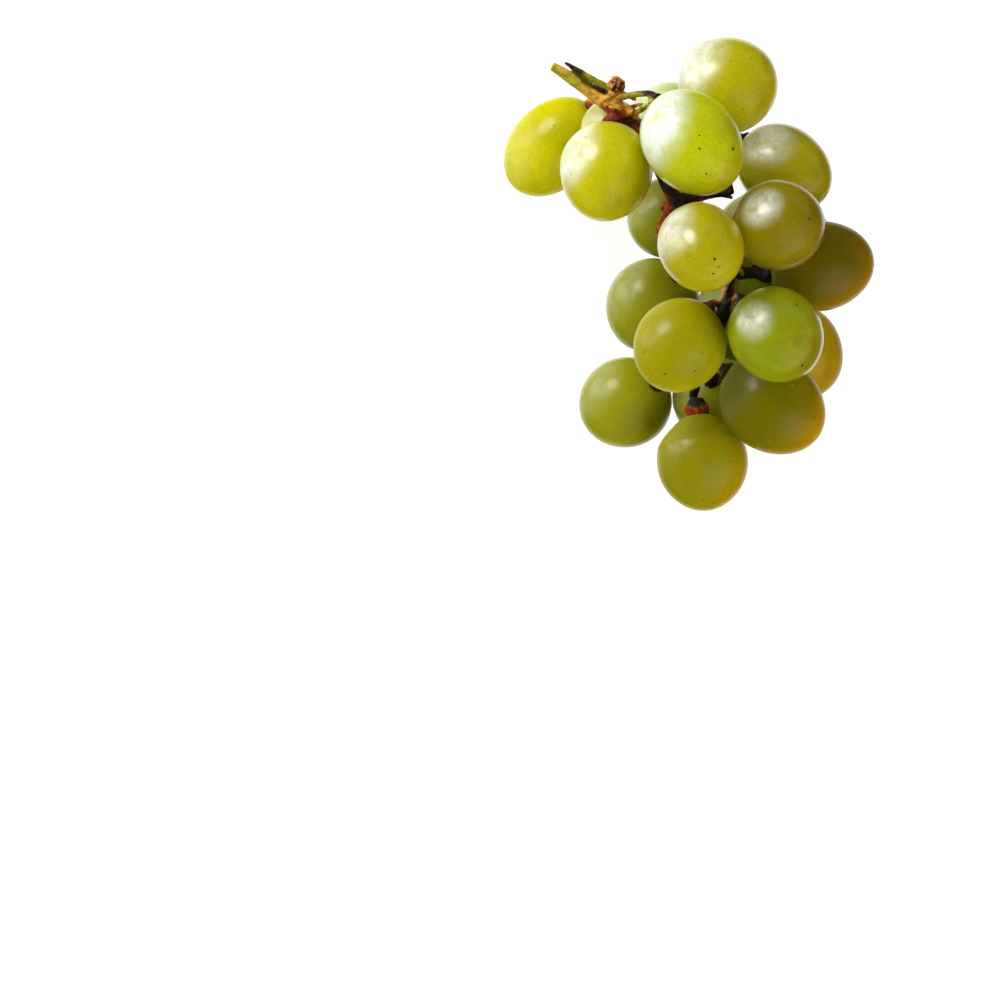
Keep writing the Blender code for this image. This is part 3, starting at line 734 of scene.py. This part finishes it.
def stemMaterial():
    # woody grape stalk: olive green rind when fresh, drying through gold and red brown to
    # nearly black where it broke or rotted; the near black in the crease between the two stalks
    # and between the knob's grains is painted shade
    material, tree = newMaterial("woody grape stalk")
    place = addNode(tree, "TexCoord", out="Object")
    blotch = addNode(tree, "TexNoise", {
        "Vector": place, "Scale": 1000 * stemLook["blotches"], "Detail": 4.0, "Roughness": 0.6,
    })
    lengthwise = addNode(tree, "Mapping", {
        "Vector": place,
        "Rotation": (0, 0, stemLook["fibreTurn"]), "Scale": (stemLook["fibreStretch"], 1, 1),
    }, vector_type="TEXTURE")
    fibre = addNode(tree, "TexNoise", {
        "Vector": lengthwise, "Scale": 1000 * stemLook["fibres"], "Detail": 3.0, "Roughness": 0.7,
    })
    edge = stemLook["vary"]
    blotchEdge = addNode(tree, "MapRange", {0: blotch, 1: 0.35, 2: 0.65, 3: -edge, 4: edge}, **smoothstep)
    fibreEdge = addNode(tree, "MapRange", {0: fibre, 1: 0.3, 2: 0.7, 3: -edge, 4: edge}, **smoothstep)
    vary = addNode(tree, "Math", {0: blotchEdge, 1: fibreEdge}, **plus)

    fresh = addNode(tree, "MapRange", {0: blotch, 1: 0.4, 2: 0.6}, **smoothstep)
    colour = addNode(tree, "Mix", {0: fresh, 6: "#8E860C", 7: "#C0B02C"}, **blend)
    for name, (start, full, low, high, first, last) in rindColours.items():
        share = addNode(tree, "MapRange", {0: fibre, 1: low, 2: high}, **smoothstep)
        rind = addNode(tree, "Mix", {0: share, 6: first, 7: last}, **blend)
        amount = addNode(tree, "Attribute", attribute_name=name, out="Fac")
        amount = addNode(tree, "Math", {0: amount, 1: vary}, **plus)
        amount = addNode(tree, "MapRange", {0: amount, 1: start, 2: full}, **smoothstep)
        colour = addNode(tree, "Mix", {0: amount, 6: colour, 7: rind}, **blend)

    fibreHeight = addNode(tree, "Math", {0: fibre, 1: stemLook["fibreRelief"]}, **times)
    blotchHeight = addNode(tree, "Math", {0: blotch, 1: stemLook["blotchRelief"]}, **times)
    relief = addNode(tree, "Math", {0: fibreHeight, 1: blotchHeight}, **plus)
    bump = addNode(tree, "Bump", {"Height": relief, "Strength": 0.8, "Distance": 1.0})
    shader = addNode(tree, "BsdfPrincipled", {
        "Base Color": colour, "Normal": bump, "Roughness": 0.6, "Specular IOR Level": 0.3,
        "Subsurface Weight": 0.15, "Subsurface Scale": 0.0006, "Subsurface Radius": (1.0, 0.6, 0.2),
    })
    addNode(tree, "OutputMaterial", {"Surface": shader})
    return material


def tintWeight(place, stretch):
    start, line, reach = stretch[:3]
    across, along = place.x - start.x, place.y - start.y
    share = max(0.0, min(1.0, (across * line.x + along * line.y) / line.length_squared))
    apart = math.hypot(across - line.x * share, along - line.y * share) / reach
    return math.exp(-apart ** 2) if apart < stemLook["tintReach"] else 0.0


def stemTint(place, stretches):
    # dry, red and dark at a place, blended from the tints in reach
    total = stemLook["plainWeight"]
    values = [part * total for part in stemLook["plainTint"]]
    for stretch in stretches:
        weight = tintWeight(place, stretch)
        if weight:
            total += weight
            values = [value + weight * part for value, part in zip(values, stretch[3])]
    return [value / total for value in values]


def knobTint(out):
    # painted shade: dark in the hollows between the grains, light on their tops
    light = max(0.0, min(1.0, (out - knobForm["grainTops"]) / knobForm["topsFade"]))
    return Vector(knobForm["hollowTint"]).lerp(knobForm["topTint"], light)


def fineSkin(stalk):
    # the rods, warts and CAD stem become one closed skin
    remesh = stalk.modifiers.new("fine skin", "REMESH")
    remesh.mode = "VOXEL"
    remesh.voxel_size = stemForm["voxel"]
    smooth = stalk.modifiers.new("round off", "SMOOTH")
    smooth.factor = 0.5
    smooth.iterations = stemForm["smoothRounds"]
    bpy.context.view_layer.update()
    coarse = stalk.data
    finished = stalk.evaluated_get(bpy.context.evaluated_depsgraph_get())
    fine = bpy.data.meshes.new_from_object(finished)
    stalk.modifiers.clear()
    stalk.data = fine
    bpy.data.meshes.remove(coarse)


def buildStem():
    shape = mergedCopy("stem")
    surface = BVHTree.FromBMesh(shape)

    def topOf(across, along, rise=0.0):
        spot = onBunch(across, along)
        hit = surface.ray_cast(spot + upward * stemForm["viewFrom"], -upward)[0]
        if hit is None:
            hit = surface.find_nearest(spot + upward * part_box("stem")[1].z * stemForm["hiddenHeight"])[0]
        return Vector((spot.x, spot.y, hit.z + rise))

    for number, berry in enumerate(berries.values()):
        addCollar(shape, berry, number)
    for _, start, end, startRadius, endRadius in stemBits + stemArms:
        start = topOf(*start) - upward * startRadius
        end = topOf(*end) - upward * endRadius
        addRod(shape, start, end, startRadius, endRadius)
    knob = topOf(*knobForm["place"]) - upward * knobForm["sink"]
    addKnob(shape, knob)
    stalk = newObject("stalk", shape)
    fineSkin(stalk)

    shape = bmesh.new()
    shape.from_mesh(stalk.data)
    shape.normal_update()
    layers = [shape.verts.layers.float.new(name) for name in rindColours]
    stretches = {
        name: (onBunch(*start), onBunch(*end) - onBunch(*start), reach, tint)
        for name, (start, end, reach, *tint) in stemTints.items()
    }
    for vert in shape.verts:
        ridge = noise.fractal(vert.co / stemForm["barkSize"], 0.8, 2.0, 3) * stemForm["bark"]
        groove = tintWeight(vert.co, stretches["groove"]) * stemForm["grooveDepth"]
        out = (vert.co - knob).length
        tint = knobTint(out) if out < knobForm["reach"] else stemTint(vert.co, stretches.values())
        for layer, value in zip(layers, tint):
            vert[layer] = value
        vert.co += vert.normal * (ridge - groove)
    shape.to_mesh(stalk.data)
    shape.free()
    stalk.data.name = "stalk"
    stalk.data.shade_smooth()
    stalk.data.materials.clear()
    stalk.data.materials.append(stemMaterial())
    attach(stalk, "root")
    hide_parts("stem")
    print("stem built:", len(stalk.data.polygons), "faces")


buildStem()


# floor, light and camera

studio = {
    "middle": (-0.0364, -0.0436),       # what the frame centres on, from under the bunch's middle
    "frameWidth": 0.193,
    "midHeight": 0.029,
    "lens": 1500.0,         # long enough for a view without perspective
    "sensor": 36.0,
    "viewEnd": 40.0,
    "floorSize": 4.0,
    "boardGlow": 0.88,
    "toothSize": 0.0025,    # the board's faint grain
}

# direction from the bunch, distance and size in metres, power in watts
lamps = {
    "key softbox": {"from": (-0.60, 0.65, 0.48), "distance": 0.6, "size": (0.30, 0.30), "power": 1.9},
    "open key": {"from": (-0.60, 0.65, 0.48), "distance": 0.6, "size": (0.30, 0.30), "power": 1.9},
    "side strip": {"from": (-0.94, 0.30, 0.10), "distance": 0.7, "size": (0.25, 0.8), "power": 1.8},
    "fill": {"from": (0.50, -0.62, 0.60), "distance": 0.7, "size": (0.9, 0.9), "power": 6.8},
}

# strength of the white surround: height of the view from and to, strength at each
surround = {
    "above": (0.0, 0.6, 0.22, 0.03),
    "horizon": (-0.05, 0.0, 0.0, 1.0),
    "below": (-0.85, -0.70, 1.0, 0.0),
}


def softbox(name):
    form = lamps[name]
    light = bpy.data.lights.new(name, "AREA")
    light.shape = "ELLIPSE"
    light.size, light.size_y = form["size"]
    light.energy = form["power"]
    lamp = bpy.data.objects.new(name, light)
    bpy.context.scene.collection.objects.link(lamp)
    target = upward * studio["midHeight"]
    lamp.location = Vector(form["from"]).normalized() * form["distance"] + target
    lamp.rotation_euler = (target - lamp.location).to_track_quat("-Z", "Y").to_euler()
    return lamp


def floorMaterial():
    # matt white studio board, faintly lit from below: clean white with a soft contact shadow
    material, tree = newMaterial("matt white board")
    place = addNode(tree, "TexCoord", out="Object")
    tooth = addNode(tree, "TexNoise", {"Vector": place, "Scale": 1 / studio["toothSize"], "Detail": 2.0})
    glow = addNode(tree, "Mix", {0: tooth, 6: "#F4F4F3", 7: "#FAFAF9"}, **blend)
    board = addNode(tree, "Mix", {0: tooth, 6: "#989896", 7: "#9E9E9C"}, **blend)
    shader = addNode(tree, "BsdfPrincipled", {
        "Base Color": board, "Emission Color": glow,
        "Roughness": 0.9, "Emission Strength": studio["boardGlow"],
    })
    addNode(tree, "OutputMaterial", {"Surface": shader})
    return material


def buildFloor():
    shape = bmesh.new()
    bmesh.ops.create_grid(shape, x_segments=1, y_segments=1, size=studio["floorSize"] / 2)
    floor = newObject("floor", shape, floorMaterial())
    floor.visible_glossy = False        # gloss sees only the lamps and the pale rim below


def buildLight():
    softbox("key softbox")
    openKey = softbox("open key")
    openKey.data.use_shadow = False     # part of the key reaches berries behind others
    softbox("side strip")
    fill = softbox("fill")
    fill.visible_glossy = False         # lifts the far sides without a second highlight

    world = bpy.data.worlds.new("white surround")
    world.use_nodes = True
    tree = world.node_tree
    tree.nodes.clear()
    direction = addNode(tree, "TexCoord", out="Generated")
    height = addNode(tree, "SeparateXYZ", {0: direction}, out="Z")
    bands = {}
    for name, (low, high, first, last) in surround.items():
        band = {0: height, 1: low, 2: high, 3: first, 4: last}
        bands[name] = addNode(tree, "MapRange", band, **smoothstep)
    strength = addNode(tree, "Math", {0: bands["above"], 1: bands["horizon"]}, **times)
    strength = addNode(tree, "Math", {0: strength, 1: bands["below"]}, **plus)
    background = addNode(tree, "Background", {"Strength": strength, "Color": "#FFFFFF"})
    addNode(tree, "OutputWorld", {"Surface": background})
    bpy.context.scene.world = world


def buildCamera():
    camera = bpy.data.cameras.new("camera")
    camera.lens = studio["lens"]
    camera.sensor_width = studio["sensor"]
    camera.clip_end = studio["viewEnd"]
    viewer = bpy.data.objects.new("camera", camera)
    bpy.context.scene.collection.objects.link(viewer)
    distance = studio["frameWidth"] * studio["lens"] / studio["sensor"]
    viewer.location = (*studio["middle"], studio["midHeight"] + distance)
    bpy.context.scene.camera = viewer
    bpy.context.scene.view_settings.view_transform = "Standard"


buildFloor()
buildLight()
buildCamera()
print("studio built")
